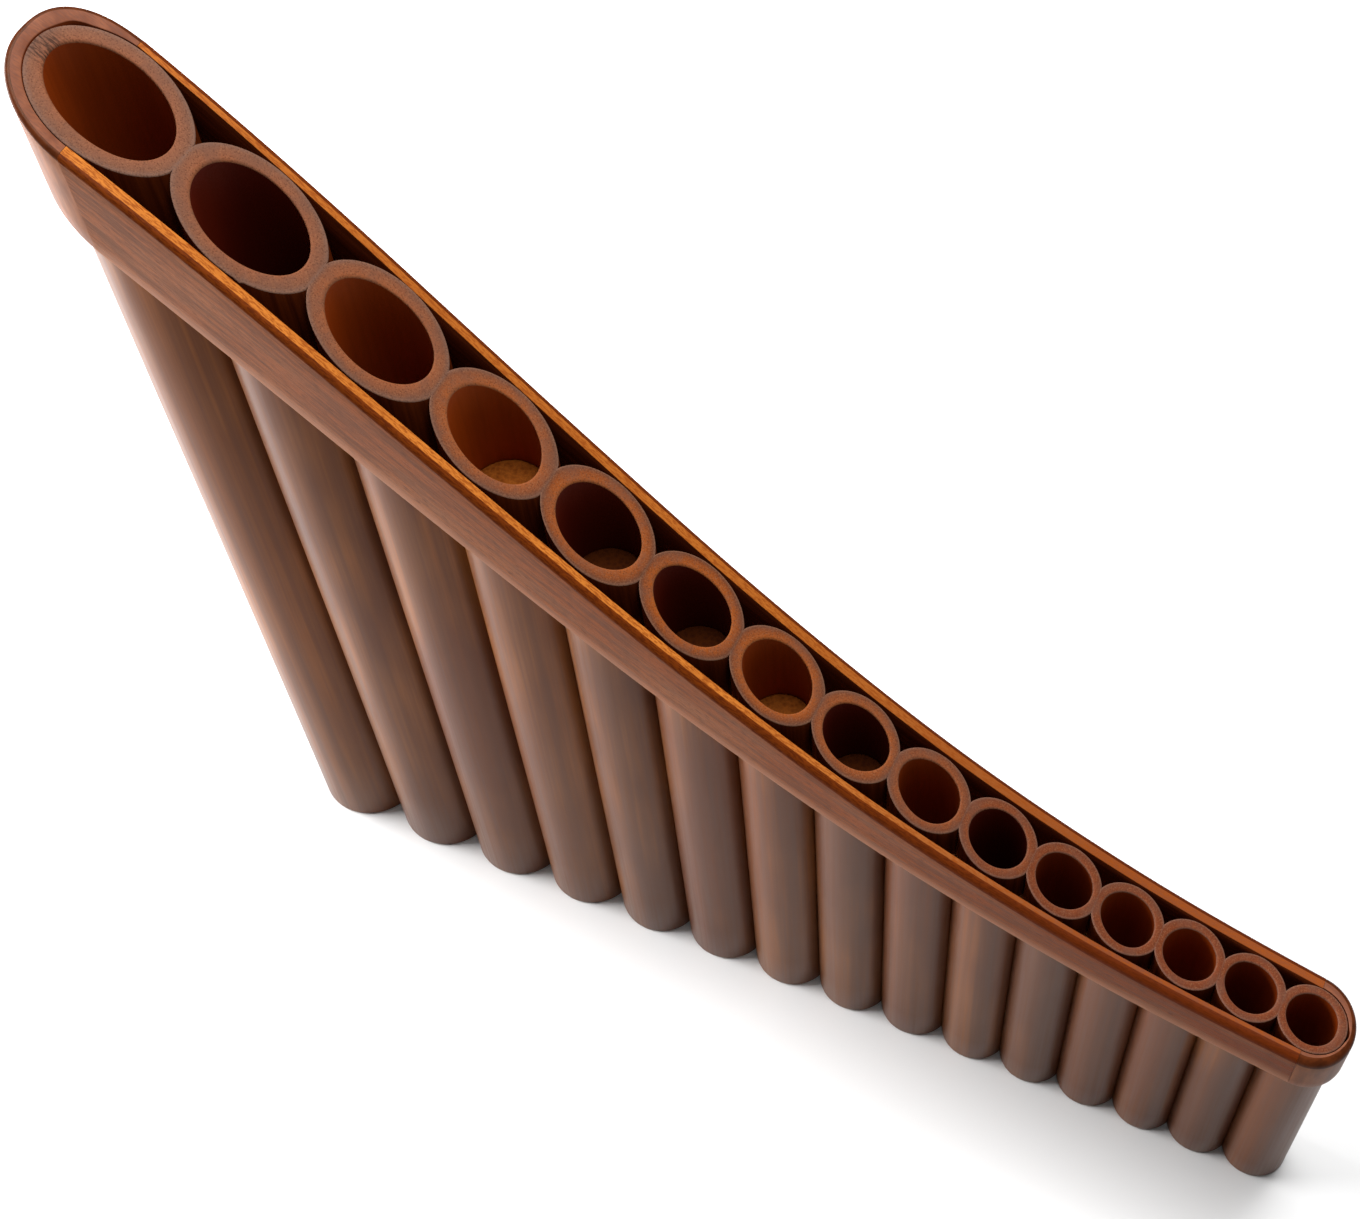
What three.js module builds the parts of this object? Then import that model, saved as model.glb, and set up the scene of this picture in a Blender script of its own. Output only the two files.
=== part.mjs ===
// A fifteen-pipe pan flute that stands on the lower ends of its pipes.
// The bamboo pipes stand side by side in one straight row along X, the longest at -X. They are ground
// flat where they meet, and all of them are sawn off along one curved top line. A hardwood band
// holds the row together just below that line: a thin tapered strip in front, another behind, and a
// half-round block at each end, butted against the strips. The back strip presses the longest pipes
// slightly oval. A cork in each bore stops the pipe.
// Millimetres. The origin is at the middle of the row, on the surface that the flute stands on.
import * as THREE from "three";
import { mergeVertices } from "three/addons/utils/BufferGeometryUtils.js";

// Driving dimensions
const PIPE_COUNT = 15;
const LOW_PIPE_RADIUS = 12.7; // the longest pipe, outside
const HIGH_PIPE_RADIUS = 7.2; // the shortest pipe, outside
const TAPER_POWER = 1.75; // the radii fall quickly at first, then level off
const BORE_SHARE = 0.74; // bore radius over outside radius
const LOW_FLAT_DEPTH = 0.6; // how much is ground off each side of the longest pipe
const HIGH_FLAT_DEPTH = 0.7; // and off each side of the shortest
const TOP_LINE = [244.3, 202.7, 108.6, 84.5, 72.2]; // Bezier heights of the sawn top, from end to end
const BAND_LOWER_LINE = [223.5, 173, 95.7, 74.4, 60.4]; // Bezier heights of the band's lower edge
// The band's faces in plan: Bezier distances from the pipes' axes, from the longest to the shortest
const FRONT_INNER_LINE = [13, 7.5];
const FRONT_OUTER_LINE = [15.7, 9.8];
const BACK_INNER_LINE = [11.9, 10.6, 7.5];
const BACK_OUTER_LINE = [13.7, 13.9, 9.9];
const LOW_BACK_JOINT = 2; // how far the back strip runs on past the longest pipe's axis
const LOW_BLOCK_REACH = 15.5; // from the longest pipe's axis to the tip of its end block
const LOW_BACK_FULLNESS = 0.77; // power that squares off the low block's back corner; 1 is an ellipse
const HIGH_BLOCK_REACH = 9; // from the shortest pipe's axis to the tip of its end block
const GAP = 0.3; // glue line between neighbouring pieces
const TOP_EDGE_ROUND = 0.9; // on the band's outer top edge
const LOWER_EDGE_ROUND = 0.4; // on the band's outer lower edge
const PIPE_FOOT_ROUND = 0.8; // on each pipe's outer lower edge
const CORK_LENGTH = 8;
const CORK_EDGE = 0.5;

// Tuning: a major scale upwards from G4. A stopped pipe sounds at a quarter of the wavelength, less
// the end correction at its open mouth.
const SPEED_OF_SOUND = 343000; // mm/s
const LOWEST_NOTE = 392; // Hz
const MAJOR_SCALE = [0, 2, 4, 5, 7, 9, 11]; // semitones
const END_CORRECTION = 0.6; // times the bore radius
const SHALLOW_CORK_PIPES = [4, 5, 6, 7, 8]; // these have their corks pushed up near the mouth
const SHALLOW_CORK_DEPTH = 17.5;

const PIPE_SIDES = 32;
const CORK_SIDES = 24;
const STRIP_STEPS = 48;
const BLOCK_ARC_STEPS = 9; // in each quarter

const COLOURS = {
  pipe: 0x6b4029,
  cork: 0x9a6a3c,
  strip: 0x9c5d2b,
  block: 0x7d4429,
};

const pipes = layOutRow();
const lowPipe = pipes[0];
const highPipe = pipes[PIPE_COUNT - 1];
const rowStart = lowPipe.x - LOW_BLOCK_REACH;
const rowLength = highPipe.x + HIGH_BLOCK_REACH - rowStart;
const rowY = (FRONT_OUTER_LINE[0] - BACK_OUTER_LINE[0]) / 2; // puts the origin midway in depth

function mix(low, high, share) {
  return low + (high - low) * share;
}

function pipeRadius(share) {
  return HIGH_PIPE_RADIUS + (LOW_PIPE_RADIUS - HIGH_PIPE_RADIUS) * (1 - share) ** TAPER_POWER;
}

// Where each pipe's axis stands, and the two flats ground on its sides.
function layOutRow() {
  const row = [];
  for (let index = 0; index < PIPE_COUNT; index += 1) {
    const share = index / (PIPE_COUNT - 1);
    const radius = pipeRadius(share);
    const flat = radius - mix(LOW_FLAT_DEPTH, HIGH_FLAT_DEPTH, share);
    const before = row[index - 1];
    const x = before ? before.x + before.flat + flat : 0;
    row.push({ number: index + 1, radius, flat, x, bore: radius * BORE_SHARE });
  }
  const length = LOW_BLOCK_REACH + row[PIPE_COUNT - 1].x + HIGH_BLOCK_REACH;
  for (const pipe of row) {
    pipe.x += LOW_BLOCK_REACH - length / 2;
  }
  return row;
}

function bezier(heights, share) {
  let level = heights;
  while (level.length > 1) {
    level = level.slice(1).map((height, index) => mix(level[index], height, share));
  }
  return level[0];
}

function topHeight(x) {
  return bezier(TOP_LINE, (x - rowStart) / rowLength);
}

function bandLowerHeight(x) {
  return bezier(BAND_LOWER_LINE, (x - rowStart) / rowLength);
}

// How far a face of the band lies in front of the pipes' axes, or behind them.
function faceDistance(line, x) {
  return bezier(line, (x - lowPipe.x) / (highPipe.x - lowPipe.x));
}

// How much the back strip flattens the back half of a pipe. 1 is round.
function backShare(pipe) {
  return Math.min(1, (faceDistance(BACK_INNER_LINE, pipe.x) - GAP) / pipe.radius);
}

// Moves every vertex of a geometry and leaves one closed skin with shared vertices.
function reshape(geometry, move) {
  const position = geometry.getAttribute("position");
  const point = new THREE.Vector3();
  for (let index = 0; index < position.count; index += 1) {
    point.fromBufferAttribute(position, index);
    move(point);
    position.setXYZ(index, point.x, point.y, point.z);
  }
  geometry.deleteAttribute("normal");
  geometry.deleteAttribute("uv");
  const merged = mergeVertices(geometry, 1e-4);
  merged.computeVertexNormals();
  return merged;
}

// A tube with a round lower edge. It is flat on each side where it meets a neighbour, and its mouth
// follows the top line.
function pipeGeometry(pipe) {
  const { radius, bore, flat, x } = pipe;
  const tall = topHeight(x);
  const profile = [
    new THREE.Vector2(bore, 0),
    new THREE.Vector2(radius - PIPE_FOOT_ROUND, 0),
    new THREE.Vector2(radius, PIPE_FOOT_ROUND),
    new THREE.Vector2(radius, tall),
    new THREE.Vector2(bore, tall),
    new THREE.Vector2(bore, 0),
  ];
  const tube = new THREE.LatheGeometry(profile, PIPE_SIDES).rotateX(Math.PI / 2);
  const low = pipe === lowPipe ? radius : flat - GAP / 2;
  const high = pipe === highPipe ? radius : flat - GAP / 2;
  return reshape(tube, (point) => {
    point.y *= point.y > 0 ? backShare(pipe) : 1;
    point.x = THREE.MathUtils.clamp(point.x, -low, high);
    if (point.z > tall / 2) {
      point.z = topHeight(x + point.x);
    }
  });
}

function noteFrequency(number) {
  const step = number - 1;
  const octaves = Math.floor(step / MAJOR_SCALE.length);
  const semitones = MAJOR_SCALE[step % MAJOR_SCALE.length] + 12 * octaves;
  return LOWEST_NOTE * 2 ** (semitones / 12);
}

// How far the top of a pipe's cork lies below the middle of its mouth.
function corkDepth(pipe) {
  if (SHALLOW_CORK_PIPES.includes(pipe.number)) {
    return SHALLOW_CORK_DEPTH;
  }
  const quarterWave = SPEED_OF_SOUND / (4 * noteFrequency(pipe.number));
  return quarterWave - END_CORRECTION * pipe.bore;
}

function corkGeometry(pipe) {
  const radius = pipe.bore - GAP;
  const profile = [
    new THREE.Vector2(0, 0),
    new THREE.Vector2(radius - CORK_EDGE, 0),
    new THREE.Vector2(radius, CORK_EDGE),
    new THREE.Vector2(radius, CORK_LENGTH - CORK_EDGE),
    new THREE.Vector2(radius - CORK_EDGE, CORK_LENGTH),
    new THREE.Vector2(0, CORK_LENGTH),
  ];
  const cork = new THREE.LatheGeometry(profile, CORK_SIDES).rotateX(Math.PI / 2);
  return reshape(cork, (point) => {
    point.y *= point.y > 0 ? backShare(pipe) : 1;
  });
}

// A strip is one small section drawn out along the row. The section's edges keep their size while
// its faces spread to the strip's real thickness and depth. The side is -1 in front and 1 behind.
function stripGeometry(side) {
  const wide = 3;
  const deep = 10;
  const section = new THREE.Shape([
    new THREE.Vector2(0, 0),
    new THREE.Vector2(side * (wide - LOWER_EDGE_ROUND), 0),
    new THREE.Vector2(side * wide, LOWER_EDGE_ROUND),
    new THREE.Vector2(side * wide, deep - TOP_EDGE_ROUND),
    new THREE.Vector2(side * (wide - TOP_EDGE_ROUND * 0.3), deep - TOP_EDGE_ROUND * 0.3),
    new THREE.Vector2(side * (wide - TOP_EDGE_ROUND), deep),
    new THREE.Vector2(0, deep),
  ]);
  const drawn = new THREE.ExtrudeGeometry(section, { depth: 1, steps: STRIP_STEPS, bevelEnabled: false });
  const [innerLine, outerLine] =
    side < 0 ? [FRONT_INNER_LINE, FRONT_OUTER_LINE] : [BACK_INNER_LINE, BACK_OUTER_LINE];
  const start = lowPipe.x - (side < 0 ? 0 : LOW_BACK_JOINT) + GAP / 2;
  const end = highPipe.x - GAP / 2;
  return reshape(drawn, (point) => {
    const x = mix(start, end, point.z);
    const across = Math.abs(point.x);
    const isOuter = across > wide / 2;
    const y = isOuter ? faceDistance(outerLine, x) - (wide - across) : faceDistance(innerLine, x) + across;
    const z = point.y > deep / 2 ? topHeight(x) - (deep - point.y) : bandLowerHeight(x) + point.y;
    point.set(x, side * y, z);
  });
}

// A quarter of an oval outline in plan from its back or front joint to its tip.
function quarterOutline(direction, reach, half, fullness, joint) {
  const start = Math.asin((joint / reach) ** (1 / fullness));
  const outline = [];
  for (let step = 0; step <= BLOCK_ARC_STEPS; step += 1) {
    const angle = mix(start, Math.PI / 2, step / BLOCK_ARC_STEPS);
    const x = direction * reach * Math.sin(angle) ** fullness;
    const y = half * Math.max(0, Math.cos(angle)) ** fullness;
    outline.push(new THREE.Vector2(x, y));
  }
  return outline;
}

// An end block is about half a ring in plan, fitting its pipe inside and oval outside, with the same
// edges as the strips. The direction is -1 at the low end and 1 at the high end.
function endBlockGeometry(pipe, direction, reach, backJoint, backFullness) {
  const inner = pipe.radius + GAP;
  const front = GAP / 2;
  const back = backJoint + GAP / 2;
  const backInner = faceDistance(BACK_INNER_LINE, pipe.x);
  const backOuter = faceDistance(BACK_OUTER_LINE, pipe.x);
  const frontInner = faceDistance(FRONT_INNER_LINE, pipe.x);
  const frontOuter = faceDistance(FRONT_OUTER_LINE, pipe.x);
  const plan = new THREE.Shape([
    ...quarterOutline(direction, reach, backOuter, backFullness, back),
    ...quarterOutline(direction, reach, -frontOuter, 1, front).reverse().slice(1),
    ...quarterOutline(direction, inner, -frontInner, 1, front),
    ...quarterOutline(direction, inner, backInner, 1, back).reverse().slice(1),
  ]);
  const levels = [
    { inset: LOWER_EDGE_ROUND, height: (x) => bandLowerHeight(x) },
    { inset: 0, height: (x) => bandLowerHeight(x) + LOWER_EDGE_ROUND },
    { inset: 0, height: (x) => topHeight(x) - TOP_EDGE_ROUND },
    { inset: TOP_EDGE_ROUND * 0.3, height: (x) => topHeight(x) - TOP_EDGE_ROUND * 0.3 },
    { inset: TOP_EDGE_ROUND, height: (x) => topHeight(x) },
  ];
  const steps = levels.length - 1;
  const risen = new THREE.ExtrudeGeometry(plan, { depth: 1, steps, bevelEnabled: false });
  return reshape(risen, (point) => {
    const level = levels[Math.round(point.z * steps)];
    const distance = Math.hypot(point.x, point.y);
    const isOuter = distance > inner + GAP;
    const scale = isOuter ? (distance - level.inset) / distance : 1;
    const x = point.x * scale;
    point.set(x, point.y * scale, level.height(pipe.x + x));
  });
}

function addPiece(group, name, geometry, colour, roughness, place = [0, 0, 0]) {
  const material = new THREE.MeshStandardMaterial({ color: colour, roughness, metalness: 0 });
  const mesh = new THREE.Mesh(geometry, material);
  mesh.name = name;
  mesh.position.set(...place);
  group.add(mesh);
}

function buildFlute() {
  const flute = new THREE.Group();
  flute.name = "pan_flute";
  for (const pipe of pipes) {
    const label = String(pipe.number).padStart(2, "0");
    const corkTop = topHeight(pipe.x) - corkDepth(pipe);
    addPiece(flute, `pipe_${label}`, pipeGeometry(pipe), COLOURS.pipe, 0.45, [pipe.x, rowY, 0]);
    const corkPlace = [pipe.x, rowY, corkTop - CORK_LENGTH];
    addPiece(flute, `cork_${label}`, corkGeometry(pipe), COLOURS.cork, 0.8, corkPlace);
  }
  const blocks = [
    ["low_end_block", lowPipe, -1, LOW_BLOCK_REACH, LOW_BACK_JOINT, LOW_BACK_FULLNESS],
    ["high_end_block", highPipe, 1, HIGH_BLOCK_REACH, 0, 1],
  ];
  addPiece(flute, "front_strip", stripGeometry(-1), COLOURS.strip, 0.5, [0, rowY, 0]);
  addPiece(flute, "back_strip", stripGeometry(1), COLOURS.strip, 0.5, [0, rowY, 0]);
  for (const [name, pipe, ...shape] of blocks) {
    const geometry = endBlockGeometry(pipe, ...shape);
    addPiece(flute, name, geometry, COLOURS.block, 0.5, [pipe.x, rowY, 0]);
  }
  return flute;
}

export default buildFlute();
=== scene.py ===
"""The looks of a bamboo pan flute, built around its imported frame. Metres, +Z up, front at -Y."""

import math

import bmesh
import bpy
import numpy as np
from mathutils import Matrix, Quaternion, Vector


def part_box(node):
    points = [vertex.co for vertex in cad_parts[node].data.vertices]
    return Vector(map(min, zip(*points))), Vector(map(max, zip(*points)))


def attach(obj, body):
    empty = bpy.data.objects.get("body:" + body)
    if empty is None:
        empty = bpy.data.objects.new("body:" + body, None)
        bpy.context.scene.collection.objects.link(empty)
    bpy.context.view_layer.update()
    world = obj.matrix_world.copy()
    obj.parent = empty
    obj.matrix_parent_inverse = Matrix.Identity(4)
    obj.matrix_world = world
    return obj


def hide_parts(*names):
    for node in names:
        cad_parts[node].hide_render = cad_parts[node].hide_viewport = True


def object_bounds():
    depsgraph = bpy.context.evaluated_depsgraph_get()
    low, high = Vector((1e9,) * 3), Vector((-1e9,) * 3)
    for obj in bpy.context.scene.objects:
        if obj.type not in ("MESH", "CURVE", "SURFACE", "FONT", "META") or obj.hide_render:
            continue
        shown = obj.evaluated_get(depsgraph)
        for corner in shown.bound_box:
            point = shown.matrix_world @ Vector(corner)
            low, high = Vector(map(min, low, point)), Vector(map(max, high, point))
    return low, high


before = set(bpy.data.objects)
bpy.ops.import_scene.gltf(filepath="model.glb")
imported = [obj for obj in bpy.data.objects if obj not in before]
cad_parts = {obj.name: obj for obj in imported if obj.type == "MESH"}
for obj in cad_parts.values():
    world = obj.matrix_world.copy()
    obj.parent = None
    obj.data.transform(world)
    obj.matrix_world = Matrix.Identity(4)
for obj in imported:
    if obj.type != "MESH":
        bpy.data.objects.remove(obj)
cad_low, cad_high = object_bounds()

MM = 0.001
PIPE_COUNT = sum(name.startswith("pipe_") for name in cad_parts)

# How finely the meshes are divided
AROUND_PIPE = 96  # steps round each pipe and cork
PIPE_LEVELS = 9  # up the inside and the outside of a pipe
STRIP_STATIONS = 160
BLOCK_STATIONS = 30  # in each quarter of an end block
SHARP_ANGLE = 35  # degrees, above which an edge stays crisp

# How the CAD pieces are read
CORK_CLEARANCE = 0.3 * MM  # between a cork and its bore
CAD_HALF_GAP = 0.15 * MM  # from a piece to the middle of the gap beside it
SAME_STATION = 0.1 * MM  # points of a strip closer than this along the row belong together
EDGE_DEGREE = 4  # of the polynomials that follow a strip's top and lower edge
FACE_DEGREE = 2  # of those that follow its two faces

# Joints between the pieces
SEAM = 0.03 * MM  # half of the hairline that shows between glued pieces
GLUE_BED = 0.12 * MM  # how far the strips are pressed onto the pipes
HIDDEN_MARGIN = 3 * MM  # the pipes' painted shade, for the hollows between the strips, starts this far above the band's lower edge

# Pipes
RIM_ROUND = 0.25 * MM  # the outer edge of each mouth
MOUTH_ROUND = 0.5 * MM  # the worn inner edge of each mouth
FOOT_ROUND = 0.8 * MM
GLUED_EDGE = 0.2  # the share of its edge rounding that a rim keeps where it meets its neighbour
BORE_UNEVENNESS = 0.014  # as a share of the radius
SKIN_UNEVENNESS = 0.0035
SKIN_SHIFT = 7  # turns the skin's unevenness away from the bore's
SWELLING = 0.003  # how much a pipe swells and shrinks along its length, as a share of its radius
SWELLING_PACE = 40  # radians per metre
WIDENING = 0.7  # how much wider a bore gets for being pressed flatter
WARMEST_RIM = 6  # the pipe with the warmest rim
WARM_RIMS_REACH = 3  # how many pipes away the warmth fades
# How pale the bores of some pipes are, and their corks; the others are dark
PALE_BORES = {1: 0.7, 3: 0.8, 4: 1, 7: 0.8, 9: 0.8, 11: 0.5, 12: 0.8, 13: 1, 14: 0.6, 15: 0.7}
NICKED_PIPE = 2
NICK_ANGLE = 288  # degrees round its mouth from the high side, by way of the back
NICK_STEP = round(AROUND_PIPE * NICK_ANGLE / 360)
NICK_DEPTH = 0.7 * MM
SAW_MARKS_FROM_AXIS = 11 * MM  # a patch of rough sawing on the longest pipe's rim
SAW_MARKS_REACH = 5 * MM

# Corks
CORK_FIT = 0.985  # a cork's radius as a share of its bore's
CORK_EDGE = 0.5 * MM
CORK_DIP = 0.25 * MM  # how far the middle of a cork's face lies below its edge
CORK_BUMPS = 0.05 * MM

# Strips and end blocks
TOP_EDGE_ROUND = 1.1 * MM  # the band's upper outer edge
FRONT_WEAR = 0.6 * MM  # how much rounder that edge has worn at the high end of the front
LOWER_EDGE_ROUND = 0.35 * MM
INNER_EDGE_ROUND = 0.12 * MM
STRIP_UNEVENNESS = 0.06 * MM
LOW_BACK_FULLNESS = 0.77  # squares off the low block's back corner; 1 is an ellipse
LOW_CRACK = (54, 0.55 * MM)  # degrees from the back, and width
HIGH_CRACK = (88, 0.35 * MM)
CRACK_REACH = 11  # degrees over which a crack closes

# The camera, from where the flute is seen
AIM = (-0.0142, 0, 0.1381)  # from the row's axis line
CAMERA_DISTANCE = 0.3968
CAMERA_AZIMUTH = 32.67  # degrees, like the next two
CAMERA_ELEVATION = 55.46
CAMERA_ROLL = 7.22  # its right side dips
CAMERA_LENS = 53.81
CAMERA_SENSOR = 36

# Light, with powers in watts
WORLD_STRENGTH = 0.15
LIGHTS_AIM = (0, 0, 0.1)
SOFTBOX_SIZE = 0.6
OVERHEAD_PLACE = (0, 0.2, 1.0)
OVERHEAD_POWER = 14
LEFT_PLACE = (-0.95, -0.2, 0.45)  # it grazes the pipes from beyond the low end
LEFT_POWER = 24

# The floor
FLOOR_HALF = 3
# Painted shade: the floor greys towards the viewer's right and front, as a broad soft shadow.
FLOOR_SHADE_GREY = (0.5, 0.5, 0.5)
FLOOR_SHADE_SLOPE = (3.15, -2.1, 0)  # its growth per metre along X and Y


# ---------------------------------------------------------------- shapes read from the frame


def node_points(name):
    return np.array([vertex.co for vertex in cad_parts[name].data.vertices])


def strip_lines(name):
    """A strip's four lines along the row, each a polynomial in x.

    They are the heights of its top and lower edge, and how far its inner and outer faces lie from
    the pipes' axes.
    """
    points = node_points(name)
    stations = sorted({round(x, 5) for x in points[:, 0]})
    rows = [points[np.abs(points[:, 0] - x) < SAME_STATION] for x in stations]
    tops = [row[:, 2].max() for row in rows]
    lowers = [row[:, 2].min() for row in rows]
    inners = [np.abs(row[:, 1] - row_y).min() for row in rows]
    outers = [np.abs(row[:, 1] - row_y).max() for row in rows]
    edges = [np.polyfit(stations, values, EDGE_DEGREE) for values in (tops, lowers)]
    faces = [np.polyfit(stations, values, FACE_DEGREE) for values in (inners, outers)]
    return [np.poly1d(fit) for fit in edges + faces]


shortest_low, shortest_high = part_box(f"pipe_{PIPE_COUNT:02d}")
row_y = (shortest_low.y + shortest_high.y) / 2  # the plane that all the pipes' axes lie in
top_line, lower_line, *front_faces = strip_lines("front_strip")
back_faces = strip_lines("back_strip")[2:]


def read_pipe(number):
    """One pipe's sizes. Its glued sides reach to the middle of the gap, so that neighbours meet."""
    low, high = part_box(f"pipe_{number:02d}")
    cork_low, cork_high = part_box(f"cork_{number:02d}")
    axis = (cork_low.x + cork_high.x) / 2
    radius = row_y - low.y
    back = (high.y - row_y) / radius
    low_gap = 0 if number == 1 else CAD_HALF_GAP
    high_gap = 0 if number == PIPE_COUNT else CAD_HALF_GAP
    return {
        "number": number,
        "axis": axis,
        "radius": radius,
        "back": back,  # how much of its round depth its back half keeps
        "wide": 1 + WIDENING * (1 - back),
        "bore": cork_high.x - axis + CORK_CLEARANCE,
        "low_side": axis - low.x + low_gap,
        "high_side": high.x - axis + high_gap,
        "cork_low": cork_low.z,
        "cork_top": cork_high.z,
    }


pipes = [read_pipe(number) for number in range(1, PIPE_COUNT + 1)]


# ---------------------------------------------------------------- mesh making


def skin(name, rings, parts, closed=False):
    """A smooth mesh through equal closed rings of points.

    parts gives the material number of the faces that follow each point of a ring. An open row of
    rings gets a flat cap at each end.
    """
    mesh = bmesh.new()
    rows = [[mesh.verts.new(point) for point in ring] for ring in rings]
    count = len(rings[0])
    pairs = list(zip(rows, rows[1:]))
    if closed:
        pairs.append((rows[-1], rows[0]))
    for here, there in pairs:
        for index in range(count):
            after = (index + 1) % count
            face = mesh.faces.new((here[index], here[after], there[after], there[index]))
            face.material_index = parts[index]
            face.smooth = True
    if not closed:
        for row in (rows[0], rows[-1]):
            mesh.faces.new(row).material_index = parts[0]
    bmesh.ops.recalc_face_normals(mesh, faces=mesh.faces)
    data = bpy.data.meshes.new(name)
    mesh.to_mesh(data)
    mesh.free()
    data.set_sharp_from_angle(angle=math.radians(SHARP_ANGLE))
    return data


def add_values(data, name, values):
    """Numbers on the vertices, for the materials to read. A single number goes on all of them."""
    attribute = data.attributes.new(name, "FLOAT", "POINT")
    attribute.data.foreach_set("value", np.full(len(data.vertices), values, np.float32))


def add_vectors(data, name, vectors):
    """A vector on every vertex, for the materials to read."""
    attribute = data.attributes.new(name, "FLOAT_VECTOR", "POINT")
    attribute.data.foreach_set("vector", np.array(vectors, np.float32).ravel())


def add_piece(name, data, materials, node):
    """A finished mesh as a piece of the flute, in place of its CAD node."""
    for material in materials:
        data.materials.append(material)
    piece = bpy.data.objects.new(name, data)
    bpy.context.scene.collection.objects.link(piece)
    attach(piece, "root")
    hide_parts(node)


def wobble(angle, number, size):
    """A small smooth change round a circle, different for each pipe."""
    phase = 2.4 * number
    return size * (math.sin(2 * angle + phase) + 0.6 * math.sin(3 * angle + 1.7 * phase))


def arc(steps, start, end):
    """The cosine and sine at even steps of an arc, in degrees."""
    angles = np.radians(np.linspace(start, end, steps + 1))
    return list(zip(np.cos(angles), np.sin(angles)))


def start_part(outline, part):
    """The next part starts at the outline's last point."""
    outline[-1] = (*outline[-1][:-1], part)


# ---------------------------------------------------------------- pipes and corks


def pipe_profile(bore, outer, height, shade_start):
    """One wall of a pipe as (radius, level, drop below the mouth, part).

    It goes up the bore, over the rim, down the outside and under the foot.
    """
    bore_part, rim_part, skin_part, shaded_part = 0, 1, 2, 3
    levels = np.linspace(0, 1, PIPE_LEVELS)
    points = [(bore, share * (height - MOUTH_ROUND), 0, bore_part) for share in levels[:-1]]
    for cosine, sine in arc(4, 180, 90):
        radius = bore + MOUTH_ROUND * (1 + cosine)
        points.append((radius, height, MOUTH_ROUND * (1 - sine), rim_part))
    points.append(((bore + outer) / 2, height, 0, rim_part))
    for cosine, sine in arc(3, 90, 0):
        radius = outer - RIM_ROUND * (1 - cosine)
        points.append((radius, height, RIM_ROUND * (1 - sine), rim_part))
    # From the rim down, the skin between the strips takes painted shade for the hollows there.
    start_part(points, shaded_part)
    points += [(outer, share * shade_start, 0, skin_part) for share in levels[:0:-1]]
    for cosine, sine in arc(4, 0, -90):
        radius = outer - FOOT_ROUND * (1 - cosine)
        points.append((radius, FOOT_ROUND * (1 + sine), 0, skin_part))
    start_part(points, rim_part)
    return points


def pipe_outline(pipe, step):
    """A pipe's wall at one step round it, as (point, share of the way from bore to skin, part)."""
    number = pipe["number"]
    angle = 2 * math.pi * step / AROUND_PIPE
    fullness = pipe["back"] if angle < math.pi else 1
    bore = pipe["bore"] * (1 + wobble(angle, number, BORE_UNEVENNESS))
    outer = pipe["radius"] * (1 + wobble(angle, number + SKIN_SHIFT, SKIN_UNEVENNESS))
    height = top_line(pipe["axis"])
    shade_start = lower_line(pipe["axis"]) + HIDDEN_MARGIN
    nick = NICK_DEPTH if (number, step) == (NICKED_PIPE, NICK_STEP) else 0
    outline = []
    for radius, level, drop, part in pipe_profile(bore, outer, height, shade_start):
        swollen = radius * (1 + SWELLING * math.sin(SWELLING_PACE * level + number))
        share = (radius - bore) / (outer - bore)
        wide = pipe["wide"] + (1 - pipe["wide"]) * share
        across = swollen * math.cos(angle) * wide
        kept = min(max(across, -pipe["low_side"]), pipe["high_side"])
        x = pipe["axis"] + kept
        y = row_y + swollen * math.sin(angle) * fullness
        if level <= FOOT_ROUND:
            z = level
        elif level < height:
            z = level * top_line(x) / height
        else:
            edge_drop = drop if kept == across else GLUED_EDGE * drop
            z = top_line(x) - edge_drop - nick * share**2
        outline.append(((x, y, z), share, part))
    return outline


def pipe_tone(number):
    """A pipe's tone, from 0 for greyish to 1 for amber."""
    return 0.5 + 0.5 * math.sin(2.2 * number - 0.6)


def rim_warmth(number):
    return math.exp(-(((number - WARMEST_RIM) / WARM_RIMS_REACH) ** 2))


def make_pipe(pipe, materials):
    """A tube with uneven walls, sawn to the slope of the row and flattened where it is glued."""
    number = pipe["number"]
    outlines = [pipe_outline(pipe, step) for step in range(AROUND_PIPE)]
    rings = [[point for point, *_ in outline] for outline in outlines]
    parts = [part for *_, part in outlines[0]]
    data = skin(f"bamboo_{number:02d}", rings, parts, closed=True)
    add_values(data, "across", [share for outline in outlines for _, share, _ in outline])
    add_values(data, "pale", PALE_BORES.get(number, 0))
    add_values(data, "tone", pipe_tone(number))
    add_values(data, "warmth", rim_warmth(number))
    add_piece(data.name, data, materials, f"pipe_{number:02d}")


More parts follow.
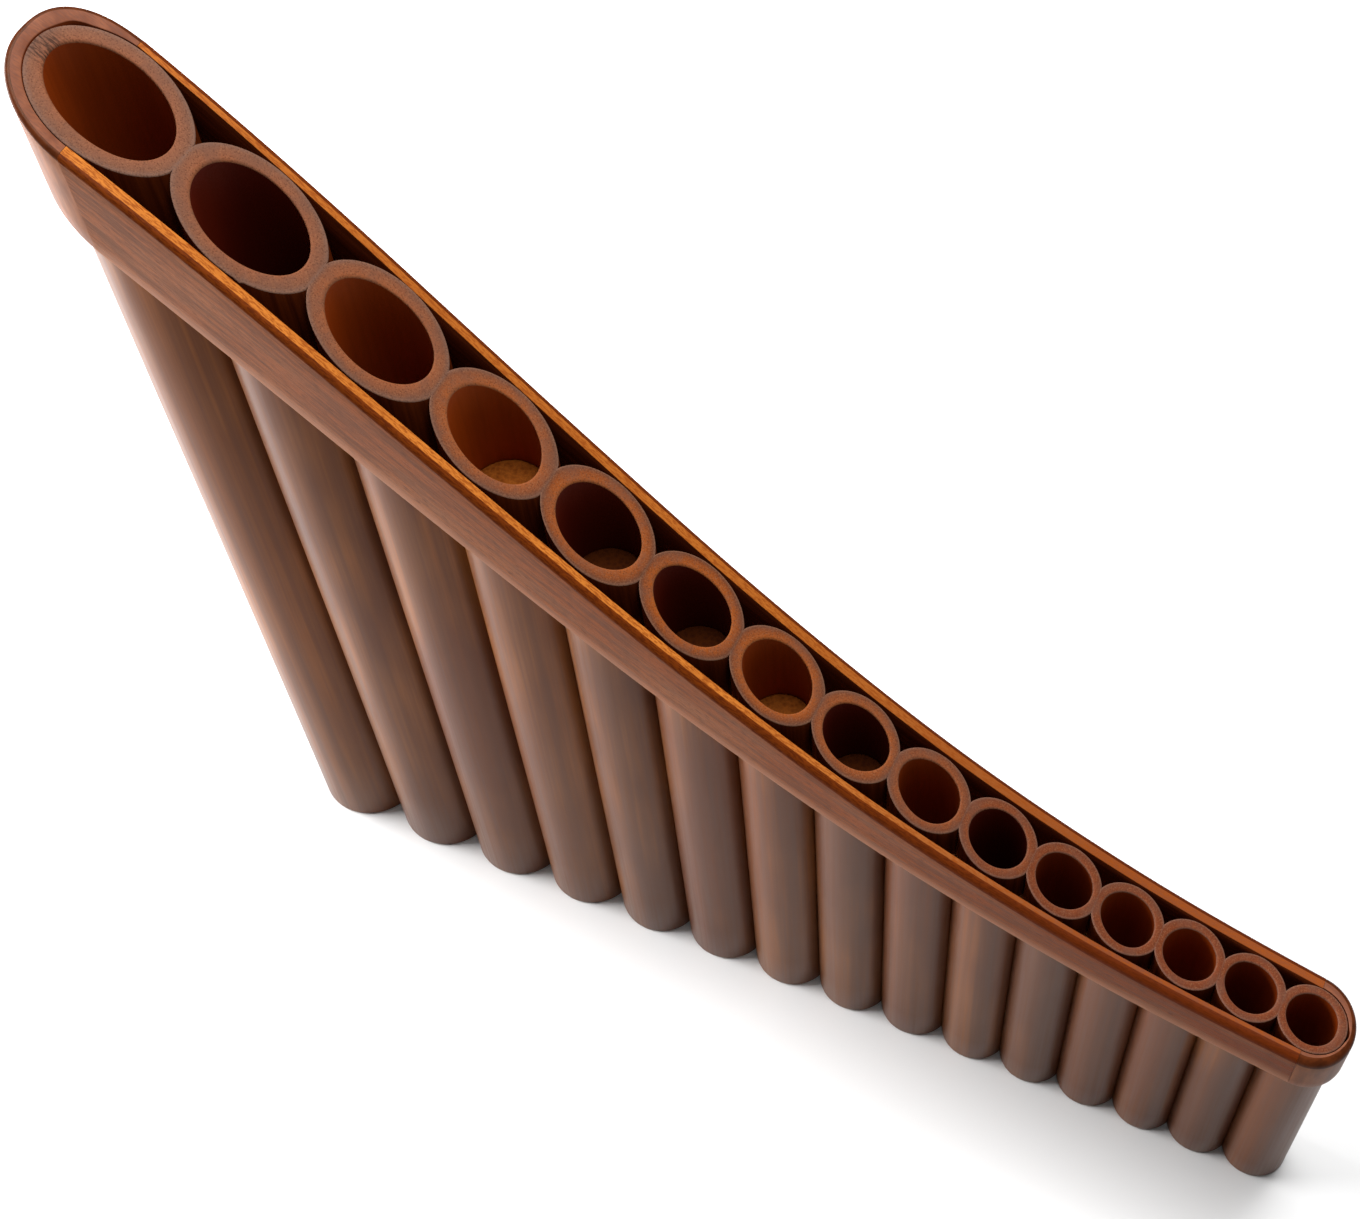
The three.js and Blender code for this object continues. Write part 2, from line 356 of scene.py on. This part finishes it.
def make_cork(pipe, material):
    """A cork whose face dips a little towards the middle, with a soft edge and slight bumps."""
    number = pipe["number"]
    radius = pipe["bore"] * CORK_FIT
    low, top = pipe["cork_low"], pipe["cork_top"]
    profile = [(radius * share, low) for share in (0.05, 0.5, 0.9)]
    for cosine, sine in arc(3, -90, 0):
        profile.append((radius - CORK_EDGE * (1 - cosine), low + CORK_EDGE * (1 + sine)))
    for cosine, sine in arc(3, 0, 90):
        profile.append((radius - CORK_EDGE * (1 - cosine), top - CORK_EDGE * (1 - sine)))
    for share in (0.85, 0.6, 0.3, 0.05):
        profile.append((radius * share, top - CORK_DIP * (1 - share**2)))
    rings = []
    for distance, z in profile:
        ring = []
        for step in range(AROUND_PIPE):
            angle = 2 * math.pi * step / AROUND_PIPE
            x = distance * math.cos(angle) * pipe["wide"]
            y = distance * math.sin(angle) * (pipe["back"] if angle < math.pi else 1)
            lift = CORK_BUMPS * math.sin(x / MM * 1.3 + number) * math.sin(y / MM * 1.1)
            ring.append((pipe["axis"] + x, row_y + y, z + lift))
        rings.append(ring)
    data = skin(f"plug_{number:02d}", rings, [0] * AROUND_PIPE)
    add_values(data, "pale", PALE_BORES.get(number, 0))
    add_piece(data.name, data, [material], f"cork_{number:02d}")


# ---------------------------------------------------------------- the band


def edge_round(plan):
    """The radius of the band's upper outer edge at a plan point."""
    share = (plan.x - cad_low.x) / (cad_high.x - cad_low.x)
    in_front = (row_y - plan.y) / (row_y - cad_low.y)
    return TOP_EDGE_ROUND + FRONT_WEAR * share * min(max(2 * in_front, 0), 1)


def band_section(inner, outer):
    """The band's closed outline between two plan points, as (point, depth, rise, part).

    Depth is from the outer face, and rise from the lower edge.
    """
    face, bevel, top, inside = 0, 1, 2, 3
    inner, outer = Vector(inner), Vector(outer)
    thick = (outer - inner).length
    inward = (inner - outer) / thick
    outline = []

    def put(depth, from_top, from_lower, part):
        plan = outer + inward * depth
        high, low = top_line(plan.x), lower_line(plan.x)
        z = low + from_lower if from_top is None else high - from_top
        outline.append(((plan.x, plan.y, z), depth, z - low, part))

    put(thick, None, 0, face)
    for cosine, sine in arc(3, -90, 0):
        put(LOWER_EDGE_ROUND * (1 - cosine), None, LOWER_EDGE_ROUND * (1 + sine), face)
    tall = top_line(outer.x) - lower_line(outer.x)
    edge = edge_round(outer)
    for share in np.linspace(0, 1, 6)[1:-1]:
        put(0, None, LOWER_EDGE_ROUND + share * (tall - LOWER_EDGE_ROUND - edge), face)
    for cosine, sine in arc(6, 0, 90):
        put(edge * (1 - cosine), edge * (1 - sine), None, bevel)
    start_part(outline, top)
    for cosine, sine in arc(2, 90, 0):
        put(thick - INNER_EDGE_ROUND * (1 - cosine), INNER_EDGE_ROUND * (1 - sine), None, top)
    start_part(outline, inside)
    for share in (0.7, 0.35):
        put(thick, None, share * tall, inside)
    return outline


def make_band_piece(name, plan_pairs, materials, node):
    """A piece of the band through pairs of inner and outer plan points."""
    rings, grain = [], []
    along = 0
    before = None
    for inner, outer in plan_pairs:
        section = band_section(inner, outer)
        here = Vector((*outer, top_line(outer[0])))
        along += (here - before).length if before else 0
        before = here
        rings.append([point for point, *_ in section])
        grain += [(along, depth, rise) for _, depth, rise, _ in section]
    parts = [part for *_, part in section]
    data = skin(name, rings, parts)
    add_vectors(data, "grain", grain)
    add_piece(name, data, materials, node)


def strip_plan(side, faces, start, end):
    """A strip that is very slightly uneven, as if planed by hand."""
    inner_face, outer_face = faces
    pairs = []
    for x in np.linspace(start, end, STRIP_STATIONS):
        uneven = STRIP_UNEVENNESS * math.sin(90 * x + side) * math.sin(37 * x)
        inner = inner_face(x) - CAD_HALF_GAP - GLUE_BED + uneven
        outer = outer_face(x) + uneven
        pairs.append(((x, row_y + side * inner), (x, row_y + side * outer)))
    return pairs


def oval_point(direction, reach, half, fullness, joint, share):
    """A point of a quarter oval, at a share of the way from its joint to its tip."""
    start = math.asin((joint / reach) ** (1 / fullness))
    angle = start + (math.pi / 2 - start) * share
    along = direction * reach * math.sin(angle) ** fullness
    return along, half * max(0, math.cos(angle)) ** fullness


def block_plan(pipe, direction, reach, back_joint, fullness, crack):
    """Half a ring round an end pipe, with a short crack where it has come away from the pipe."""
    inner_reach = pipe["radius"] + CAD_HALF_GAP
    crack_at, crack_width = crack
    pairs = []
    for step in range(-BLOCK_STATIONS, BLOCK_STATIONS + 1):
        side = -1 if step > 0 else 1
        inner_face, outer_face = back_faces if side > 0 else front_faces
        share = 1 - abs(step) / BLOCK_STATIONS
        joint = back_joint if side > 0 else SEAM
        full = fullness if side > 0 else 1
        deep = inner_face(pipe["axis"]) - CAD_HALF_GAP
        outer = oval_point(direction, reach, side * outer_face(pipe["axis"]), full, joint, share)
        inner = oval_point(direction, inner_reach, side * deep, 1, joint, share)
        angle = math.degrees(math.atan2(abs(inner[0]), inner[1]))
        nearness = math.exp(-(((angle - crack_at) / CRACK_REACH) ** 2))
        opening = 1 + crack_width / inner_reach * nearness
        inner = (inner[0] * opening, inner[1] * opening)
        pairs.append([(pipe["axis"] + x, row_y + y) for x, y in (inner, outer)])
    return pairs


def make_band(strip_materials, block_materials):
    """The two strips, and the end blocks that join them."""
    first, last = pipes[0], pipes[-1]
    back_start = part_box("back_strip")[0].x - CAD_HALF_GAP
    front = ("front", -1, front_faces, first["axis"])
    back = ("back", 1, back_faces, back_start)
    for name, side, faces, start in (front, back):
        plan = strip_plan(side, faces, start + SEAM, last["axis"] - SEAM)
        node = f"{name}_strip"
        make_band_piece(f"{name}_band", plan, strip_materials, node)
    low_reach = first["axis"] - cad_low.x
    high_reach = cad_high.x - last["axis"]
    low_joint = first["axis"] - back_start + SEAM
    low_plan = block_plan(first, -1, low_reach, low_joint, LOW_BACK_FULLNESS, LOW_CRACK)
    high_plan = block_plan(last, 1, high_reach, SEAM, 1, HIGH_CRACK)
    for name, plan in (("low", low_plan), ("high", high_plan)):
        node = f"{name}_end_block"
        make_band_piece(f"{name}_cap", plan, block_materials, node)


# ---------------------------------------------------------------- materials

WOOD_SHEER = (1, 0.6, 0.35)
BACK_STRIP_DARKENING = 0.45  # how much of the dark colour lies over the back strip's top


class Recipe:
    """A material under construction. Each method adds a node and gives its output.

    sheer is the colour of its reflections.
    """

    def __init__(self, name, roughness, coat=0.0, coat_roughness=0.2, specular=0.5, sheer=(1, 1, 1)):
        self.material = bpy.data.materials.new(name)
        self.material.use_nodes = True
        self.tree = self.material.node_tree
        self.shader = next(n for n in self.tree.nodes if n.type == "BSDF_PRINCIPLED")
        self.shader.inputs["Roughness"].default_value = roughness
        self.shader.inputs["Coat Weight"].default_value = coat
        self.shader.inputs["Coat Roughness"].default_value = coat_roughness
        self.shader.inputs["Specular IOR Level"].default_value = specular
        self.shader.inputs["Specular Tint"].default_value = (*sheer, 1)

    def node(self, kind, **inputs):
        made = self.tree.nodes.new(kind)
        for name, value in inputs.items():
            self.fill(made.inputs[name.replace("_", " ")], value)
        return made

    def fill(self, socket, value):
        if isinstance(value, bpy.types.NodeSocket):
            self.tree.links.new(value, socket)
        else:
            socket.default_value = value

    def place(self):
        return self.node("ShaderNodeTexCoord").outputs["Object"]

    def attribute(self, name, output="Fac"):
        made = self.node("ShaderNodeAttribute")
        made.attribute_name = name
        return made.outputs[output]

    def stretched(self, vector, scale):
        return self.node("ShaderNodeMapping", Vector=vector, Scale=scale).outputs["Vector"]

    def noise(self, vector, scale, detail, roughness=0.55):
        vector = self.stretched(vector, scale)
        made = self.node("ShaderNodeTexNoise", Vector=vector, Scale=1.0)
        self.fill(made.inputs["Detail"], detail)
        self.fill(made.inputs["Roughness"], roughness)
        return made.outputs["Fac"]

    def dots(self, vector, scale):
        vector = self.stretched(vector, scale)
        made = self.node("ShaderNodeTexVoronoi", Vector=vector, Scale=1.0)
        return made.outputs["Distance"]

    def ramp(self, value, *stops):
        """Each stop is a place from 0 to 1 and a colour or a number."""
        made = self.node("ShaderNodeValToRGB", Fac=value)
        elements = made.color_ramp.elements
        while len(elements) < len(stops):
            elements.new(0.5)
        for element, (place, colour) in zip(elements, stops):
            element.position = place
            grey = not hasattr(colour, "__len__")
            element.color = (colour,) * 3 + (1,) if grey else (*colour, 1)
        return made.outputs["Color"]

    def blend(self, share, first, second):
        made = self.tree.nodes.new("ShaderNodeMix")
        made.data_type = "RGBA"
        self.fill(made.inputs[0], share)
        for socket, value in ((made.inputs[6], first), (made.inputs[7], second)):
            colour = (*value, 1) if isinstance(value, tuple) else value
            self.fill(socket, colour)
        return made.outputs[2]

    def over(self, base, colour, mask, *stops):
        """A colour laid over a base, with its share ramped from a mask."""
        return self.blend(self.ramp(mask, *stops), base, colour)

    def maths(self, operation, first, second):
        made = self.tree.nodes.new("ShaderNodeMath")
        made.operation = operation
        self.fill(made.inputs[0], first)
        self.fill(made.inputs[1], second)
        return made.outputs[0]

    def distance(self, vector, point):
        made = self.tree.nodes.new("ShaderNodeVectorMath")
        made.operation = "DISTANCE"
        self.fill(made.inputs[0], vector)
        self.fill(made.inputs[1], point)
        return made.outputs["Value"]

    def split(self, vector, axis):
        return self.node("ShaderNodeSeparateXYZ", Vector=vector).outputs[axis]

    def row_share(self):
        """0 at the low end of the row and 1 at the high end, whichever way a piece was drawn."""
        x = self.split(self.place(), "X")
        length = cad_high.x - cad_low.x
        return self.maths("ADD", self.maths("DIVIDE", x, length), 0.5)

    def finish(self, colour, height=None, relief=0.0, roughness=None):
        self.fill(self.shader.inputs["Base Color"], colour)
        if roughness is not None:
            self.fill(self.shader.inputs["Roughness"], roughness)
        if height is not None:
            bump = self.node("ShaderNodeBump", Height=height, Strength=1.0, Distance=relief)
            self.fill(self.shader.inputs["Normal"], bump.outputs["Normal"])
        return self.material


def pipe_skin():
    """Stained bamboo: a tone for each pipe, upright fibres, slow blotches, and painted shade that
    darkens each pipe towards its foot.
    """
    warm_sheer = (1, 0.4, 0.15)
    recipe = Recipe("pipe_skin", 0.36, coat=0.03, coat_roughness=0.15, specular=0.24, sheer=warm_sheer)
    place = recipe.place()
    fibres = recipe.noise(place, (1400, 1400, 22), detail=4)
    streaks = recipe.noise(place, (320, 320, 7), detail=3)
    blotches = recipe.noise(place, (60, 60, 16), detail=2)
    grey, red, amber = (0.11, 0.032, 0.008), (0.14, 0.032, 0.005), (0.18, 0.048, 0.006)
    honey, dark_streak, dark_fibre = (0.3, 0.1, 0.02), (0.085, 0.024, 0.008), (0.06, 0.015, 0.005)
    foot_shade = (0.07, 0.026, 0.012)
    base = recipe.ramp(recipe.attribute("tone"), (0.0, grey), (0.5, red), (1.0, amber))
    warm = recipe.over(base, honey, blotches, (0.45, 0.0), (0.65, 0.75))
    streaky = recipe.over(warm, dark_streak, streaks, (0.42, 0.6), (0.62, 0.0))
    fibrous = recipe.over(streaky, dark_fibre, fibres, (0.3, 0.35), (0.6, 0.0))
    # Painted shade: the lowest 10 cm of each pipe darkens towards the foot.
    colour = recipe.over(fibrous, foot_shade, recipe.split(place, "Z"), (0.0, 0.6), (0.1, 0.0))
    roughness = recipe.ramp(fibres, (0.3, 0.3), (0.7, 0.4))
    return recipe.finish(colour, fibres, 0.02 * MM, roughness)


def pipe_painted_shade():
    """The matt, dark outside of the pipes between the two strips: painted shade for the hollows there.
    """
    recipe = Recipe("pipe_painted_shade", roughness=0.9, specular=0.0)
    fibres = recipe.noise(recipe.place(), (900, 900, 30), detail=3)
    colour = recipe.ramp(fibres, (0.35, (0.05, 0.008, 0.002)), (0.65, (0.1, 0.018, 0.003)))
    return recipe.finish(colour, fibres, 0.03 * MM)


def saw_marks(recipe, place):
    """How strongly the patch of rough sawing shows on the longest pipe's rim."""
    middle = (pipes[0]["axis"] - SAW_MARKS_FROM_AXIS, row_y, 0)
    away = recipe.distance(recipe.stretched(place, (1, 1, 0)), middle)
    near = recipe.ramp(recipe.maths("DIVIDE", away, SAW_MARKS_REACH), (0.4, 1.0), (1.0, 0.0))
    scratches = recipe.ramp(recipe.noise(place, (500, 2600, 0), detail=3), (0.42, 0.9), (0.54, 0.0))
    return recipe.maths("MULTIPLY", near, scratches)


def pipe_rim():
    """Sawn bamboo, paler at both edges, with a speckle of vessels.

    It is brown at the low end of the row, orange in the middle and red at the high end.
    """
    recipe = Recipe("pipe_rim", roughness=0.65, specular=0.08)
    place = recipe.place()
    across = recipe.attribute("across")
    brown = recipe.ramp(
        across,
        (0.0, (0.2, 0.07, 0.034)),
        (0.7, (0.16, 0.068, 0.04)),
        (1.0, (0.16, 0.088, 0.064)),
    )
    red = recipe.ramp(
        across,
        (0.0, (0.2, 0.085, 0.055)),
        (0.18, (0.15, 0.033, 0.01)),
        (0.75, (0.12, 0.028, 0.01)),
        (1.0, (0.17, 0.08, 0.055)),
    )
    orange = recipe.ramp(
        across,
        (0.0, (0.3, 0.085, 0.02)),
        (0.12, (0.27, 0.062, 0.008)),
        (0.6, (0.19, 0.044, 0.008)),
        (0.85, (0.11, 0.036, 0.016)),
        (1.0, (0.19, 0.09, 0.055)),
    )
    cool = recipe.over(brown, red, recipe.row_share(), (0.5, 0.0), (0.72, 1.0))
    base = recipe.blend(recipe.attribute("warmth"), cool, orange)
    dark_vessel, pale_speck, dull_patch = (0.07, 0.022, 0.01), (0.3, 0.13, 0.06), (0.11, 0.055, 0.038)
    vessels = recipe.dots(place, (2600, 2600, 900))
    fine = recipe.noise(place, (3800, 3800, 3800), detail=4)
    broad = recipe.noise(place, (260, 260, 260), detail=2)
    speckled = recipe.over(base, dark_vessel, vessels, (0.2, 0.6), (0.42, 0.0))
    flecked = recipe.over(speckled, pale_speck, fine, (0.5, 0.0), (0.68, 0.45))
    patchy = recipe.over(flecked, dull_patch, broad, (0.35, 0.35), (0.55, 0.0))
    colour = recipe.blend(saw_marks(recipe, place), patchy, (0.045, 0.02, 0.012))
    return recipe.finish(colour, recipe.maths("MULTIPLY", fine, vessels), 0.06 * MM)


def pipe_bore():
    """A bore's stained wall. Some bores are pale amber, and the others are dark."""
    recipe = Recipe("pipe_bore", roughness=0.5, specular=0.1)
    place = recipe.place()
    fibres = recipe.noise(place, (900, 900, 40), detail=3)
    blotches = recipe.noise(place, (90, 90, 30), detail=2)
    dark = recipe.blend(blotches, (0.05, 0.003, 0.001), (0.1, 0.009, 0.001))
    pale = recipe.blend(blotches, (0.19, 0.024, 0.001), (0.32, 0.052, 0.003))
    base = recipe.blend(recipe.attribute("pale"), dark, pale)
    colour = recipe.over(base, (0.05, 0.007, 0.001), fibres, (0.3, 0.15), (0.6, 0.0))
    return recipe.finish(colour, fibres, 0.03 * MM)


def cork():
    """Pressed grains, as dark or as pale as the bore round them."""
    recipe = Recipe("cork", roughness=0.8, specular=0.04)
    place = recipe.place()
    grains = recipe.dots(place, (900, 900, 900))
    fine = recipe.noise(place, (2400, 2400, 2400), detail=4)
    dark = recipe.ramp(grains, (0.1, (0.035, 0.006, 0.001)), (0.6, (0.055, 0.011, 0.001)))
    pale = recipe.ramp(grains, (0.1, (0.16, 0.038, 0.004)), (0.6, (0.24, 0.065, 0.008)))
    base = recipe.blend(recipe.attribute("pale"), dark, pale)
    colour = recipe.over(base, (0.04, 0.01, 0.002), fine, (0.4, 0.25), (0.6, 0.0))
    return recipe.finish(colour, recipe.maths("ADD", grains, fine), 0.05 * MM)


def strip_face():
    """Oiled wood with long grain and a painted highlight along its lower edge. It is warmer and darker
    towards the high end, partly its own colour and partly painted shade.
    """
    recipe = Recipe("strip_face", roughness=0.45, specular=0.1, sheer=WOOD_SHEER)
    grain = recipe.attribute("grain", "Vector")
    long = recipe.noise(grain, (60, 900, 900), detail=5, roughness=0.6)
    pores = recipe.noise(grain, (420, 5000, 5000), detail=3)
    cloud = recipe.noise(grain, (22, 90, 90), detail=2)
    tan, russet, chestnut = (0.25, 0.075, 0.024), (0.23, 0.052, 0.008), (0.15, 0.027, 0.004)
    dark_line, pale_cloud, dark_pore = (0.11, 0.036, 0.016), (0.32, 0.14, 0.07), (0.07, 0.022, 0.01)
    lower_edge_highlight = (0.33, 0.14, 0.07)
    # Darker towards the high end: partly the wood's own colour, partly painted shade.
    base = recipe.ramp(recipe.row_share(), (0.0, tan), (0.6, russet), (1.0, chestnut))
    lined = recipe.over(base, dark_line, long, (0.42, 0.75), (0.56, 0.0))
    cloudy = recipe.over(lined, pale_cloud, cloud, (0.45, 0.0), (0.7, 0.35))
    porous = recipe.over(cloudy, dark_pore, pores, (0.34, 0.8), (0.48, 0.0))
    rise = recipe.split(grain, "Z")
    # Painted highlight along the rounded lower edge.
    colour = recipe.over(porous, lower_edge_highlight, rise, (0.4 * MM, 0.8), (1.0 * MM, 0.0))
    return recipe.finish(colour, recipe.maths("MULTIPLY", long, pores), 0.08 * MM)


def strip_top(name, pale, dark, high_end):
    """The strip's sawn top, or its rounded edge: wood with short dark dashes, darker at the back."""
    recipe = Recipe(name, roughness=0.5, specular=0.06)
    grain = recipe.attribute("grain", "Vector")
    dashes = recipe.noise(grain, (650, 3600, 3600), detail=3, roughness=0.6)
    broad = recipe.noise(grain, (70, 500, 500), detail=2)
    wood = recipe.ramp(recipe.row_share(), (0.5, pale), (0.8, high_end))
    dashed = recipe.over(wood, dark, dashes, (0.42, 0.85), (0.54, 0.0))
    cloudy = recipe.over(dashed, dark, broad, (0.4, 0.25), (0.6, 0.0))
    is_back = recipe.maths("GREATER_THAN", recipe.split(recipe.place(), "Y"), row_y)
    colour = recipe.blend(recipe.maths("MULTIPLY", is_back, BACK_STRIP_DARKENING), cloudy, dark)
    return recipe.finish(colour, dashes, 0.04 * MM)


def strip_inside_painted_shade():
    """The matt, dark faces that the pipes are glued to, darkened as painted shade for the hollows
    behind the pipes.
    """
    recipe = Recipe("strip_inside_painted_shade", roughness=0.9, specular=0.0)
    grain = recipe.attribute("grain", "Vector")
    lines = recipe.noise(grain, (50, 900, 900), detail=4)
    colour = recipe.ramp(lines, (0.35, (0.09, 0.015, 0.003)), (0.65, (0.16, 0.03, 0.007)))
    return recipe.finish(colour, lines, 0.05 * MM)


def block_top():
    """End grain: fine hatching across reddish wood."""
    recipe = Recipe("block_top", roughness=0.5, specular=0.1)
    place = recipe.place()
    hatch = recipe.noise(place, (600, 3800, 600), detail=3)
    cloud = recipe.noise(place, (180, 180, 180), detail=3)
    base = recipe.ramp(cloud, (0.35, (0.15, 0.045, 0.02)), (0.65, (0.25, 0.085, 0.04)))
    colour = recipe.over(base, (0.12, 0.045, 0.028), hatch, (0.38, 0.55), (0.55, 0.0))
    return recipe.finish(colour, hatch, 0.05 * MM)


def block_side(name, pale, dark):
    """An end block's polished outside, with upright grain."""
    recipe = Recipe(name, 0.4, coat=0.05, coat_roughness=0.18, specular=0.1, sheer=WOOD_SHEER)
    grain = recipe.attribute("grain", "Vector")
    lines = recipe.noise(grain, (500, 900, 120), detail=4)
    base = recipe.ramp(lines, (0.35, dark), (0.65, pale))
    return recipe.finish(base, lines, 0.05 * MM)


def floor_material():
    """A white sheet that greys a little towards the viewer's right: painted shade for the flute's soft
    shadow and the light's fall-off.
    """
    recipe = Recipe("floor", roughness=0.32, specular=0.5)
    place = recipe.place()
    cloud = recipe.noise(place, (3, 3, 3), detail=2)
    white = recipe.ramp(cloud, (0.3, 0.86), (0.7, 0.9))
    slope = recipe.stretched(place, FLOOR_SHADE_SLOPE)
    reach = recipe.maths("ADD", recipe.split(slope, "X"), recipe.split(slope, "Y"))
    return recipe.finish(recipe.over(white, FLOOR_SHADE_GREY, reach, (0.05, 0.0), (0.6, 1.0)))


# ---------------------------------------------------------------- stage, light and camera


def add_floor():
    data = bpy.data.meshes.new("floor")
    signs = [(-1, -1), (1, -1), (1, 1), (-1, 1)]
    corners = [(FLOOR_HALF * x, FLOOR_HALF * y, 0) for x, y in signs]
    data.from_pydata(corners, [], [(0, 1, 2, 3)])
    data.materials.append(floor_material())
    floor = bpy.data.objects.new("floor", data)
    bpy.context.scene.collection.objects.link(floor)


def add_softbox(name, place, power):
    light = bpy.data.lights.new(name, "AREA")
    light.shape = "SQUARE"
    light.size = SOFTBOX_SIZE
    light.energy = power
    lamp = bpy.data.objects.new(name, light)
    lamp.location = place
    lamp.rotation_mode = "QUATERNION"
    lamp.rotation_quaternion = (Vector(place) - Vector(LIGHTS_AIM)).to_track_quat("Z", "Y")
    bpy.context.scene.collection.objects.link(lamp)


def add_light():
    world = bpy.data.worlds.new("studio")
    world.use_nodes = True
    background = next(n for n in world.node_tree.nodes if n.type == "BACKGROUND")
    background.inputs["Color"].default_value = (1, 1, 1, 1)
    background.inputs["Strength"].default_value = WORLD_STRENGTH
    bpy.context.scene.world = world
    add_softbox("overhead", OVERHEAD_PLACE, OVERHEAD_POWER)
    add_softbox("left", LEFT_PLACE, LEFT_POWER)


def add_camera():
    camera = bpy.data.cameras.new("camera")
    camera.sensor_width = CAMERA_SENSOR
    camera.lens = CAMERA_LENS
    camera.clip_start = 0.01
    holder = bpy.data.objects.new("camera", camera)
    azimuth, elevation = math.radians(CAMERA_AZIMUTH), math.radians(CAMERA_ELEVATION)
    level = math.cos(elevation)
    back = Vector((math.sin(azimuth) * level, -math.cos(azimuth) * level, math.sin(elevation)))
    holder.location = Vector(AIM) + Vector((0, row_y, 0)) + back * CAMERA_DISTANCE
    holder.rotation_mode = "QUATERNION"
    roll = Quaternion((0, 0, 1), -math.radians(CAMERA_ROLL))
    holder.rotation_quaternion = back.to_track_quat("Z", "Y") @ roll
    bpy.context.scene.collection.objects.link(holder)
    bpy.context.scene.camera = holder


def make_flute():
    bamboo = [pipe_bore(), pipe_rim(), pipe_skin(), pipe_painted_shade()]
    plug = cork()
    for pipe in pipes:
        make_pipe(pipe, bamboo)
        make_cork(pipe, plug)
    orange, burnt, brown = (0.52, 0.165, 0.024), (0.25, 0.055, 0.006), (0.18, 0.05, 0.02)
    rust, dark_rust, high_rust = (0.16, 0.03, 0.002), (0.08, 0.013, 0.001), (0.11, 0.018, 0.002)
    tan, dark_tan = (0.24, 0.075, 0.022), (0.15, 0.042, 0.011)
    umber, dark_umber = (0.09, 0.02, 0.005), (0.05, 0.011, 0.003)
    top = strip_top("strip_top", orange, burnt, brown)
    bevel = strip_top("strip_bevel", rust, dark_rust, high_rust)
    side = block_side("block_side", tan, dark_tan)
    rounded = block_side("block_edge", umber, dark_umber)
    # The inner faces of the strips and blocks carry painted shade.
    inside = strip_inside_painted_shade()
    make_band([strip_face(), bevel, top, inside], [side, rounded, block_top(), inside])


make_flute()
add_floor()
add_light()
add_camera()
bpy.context.scene.view_settings.view_transform = "Standard"
